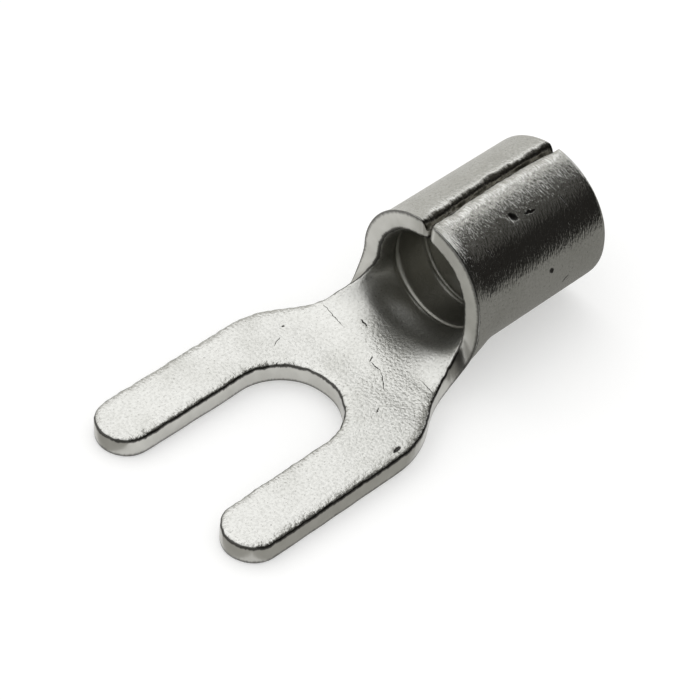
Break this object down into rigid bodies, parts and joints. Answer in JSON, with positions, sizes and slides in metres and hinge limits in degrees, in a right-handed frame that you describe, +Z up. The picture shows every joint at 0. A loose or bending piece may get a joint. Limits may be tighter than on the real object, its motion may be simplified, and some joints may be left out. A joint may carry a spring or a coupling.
{
  "type": "fork terminal",
  "caption": "Bare crimp fork terminal: a flat tongue with an open slot for a stud, waisted into a rolled wire barrel with a butted seam and inner grip grooves.",
  "frame": {"origin": "centre of the stud slot's round bottom, on the underside of the tongue", "axes": "+X along the barrel towards the wire mouth, +Y across the fork, +Z up from the tongue's underside"},
  "size_m": [0.0192, 0.0088, 0.0059],
  "materials": {
    "tin_plate": "satin tin plate on copper sheet"
  },
  "bodies": {
    "root": {"terminal": "tin_plate"}
  },
  "joints": []
}
